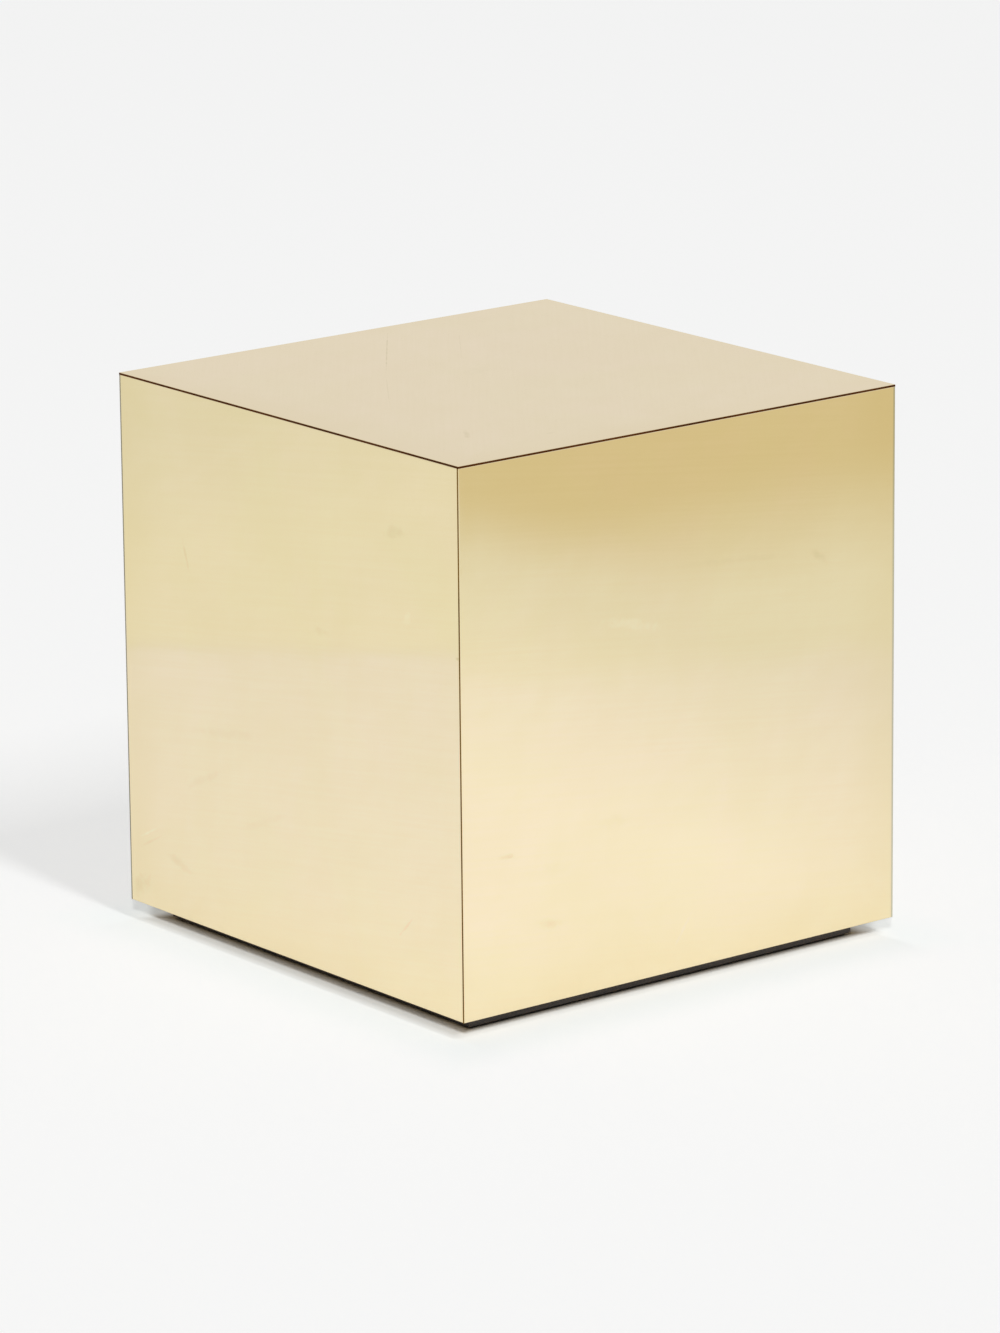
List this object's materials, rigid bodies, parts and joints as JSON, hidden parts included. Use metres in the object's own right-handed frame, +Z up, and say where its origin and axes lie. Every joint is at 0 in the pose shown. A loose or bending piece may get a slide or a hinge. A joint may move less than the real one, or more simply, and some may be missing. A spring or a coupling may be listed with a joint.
{
  "type": "cube side table",
  "caption": "Free-standing cube side table: a closed box clad in mirror-polished brass laminate on a low recessed dark plinth.",
  "frame": {"origin": "on the floor, under the middle of the cube", "axes": "+Z up; the front faces -Y and the left side faces -X"},
  "size_m": [0.4, 0.4, 0.4145],
  "materials": {
    "brass": "mirror-polished and lacquered, light wipe haze and hairline scratches",
    "phenolic_core": "filed brown edge of phenolic paper laminate",
    "fibreboard": "raw medium-density fibreboard",
    "softwood": "planed softwood",
    "beech": "turned beech",
    "plinth_paint": "satin black-brown paint on fibreboard strip",
    "zinc_steel": "zinc plated",
    "felt": "pressed dark felt"
  },
  "bodies": {
    "root": {"back_base_cleat": "softwood", "back_brass_face": "brass", "back_laminate_core": "phenolic_core", "back_left_corner_block": "softwood", "back_left_pad": "felt", "back_panel": "fibreboard", "back_plinth_rail": "plinth_paint", "back_right_corner_block": "softwood", "back_right_pad": "felt", "base_panel": "fibreboard", "base_screws": "zinc_steel", "cleat_screws": "zinc_steel", "corner_dowels": "beech", "front_base_cleat": "softwood", "front_brass_face": "brass", "front_laminate_core": "phenolic_core", "front_left_corner_block": "softwood", "front_left_pad": "felt", "front_panel": "fibreboard", "front_plinth_rail": "plinth_paint", "front_right_corner_block": "softwood", "front_right_pad": "felt", "left_base_cleat": "softwood", "left_brass_face": "brass", "left_laminate_core": "phenolic_core", "left_panel": "fibreboard", "left_plinth_rail": "plinth_paint", "plinth_screws": "zinc_steel", "right_base_cleat": "softwood", "right_brass_face": "brass", "right_laminate_core": "phenolic_core", "right_panel": "fibreboard", "right_plinth_rail": "plinth_paint", "top_brass_face": "brass", "top_dowels": "beech", "top_laminate_core": "phenolic_core", "top_panel": "fibreboard"}
  },
  "joints": []
}
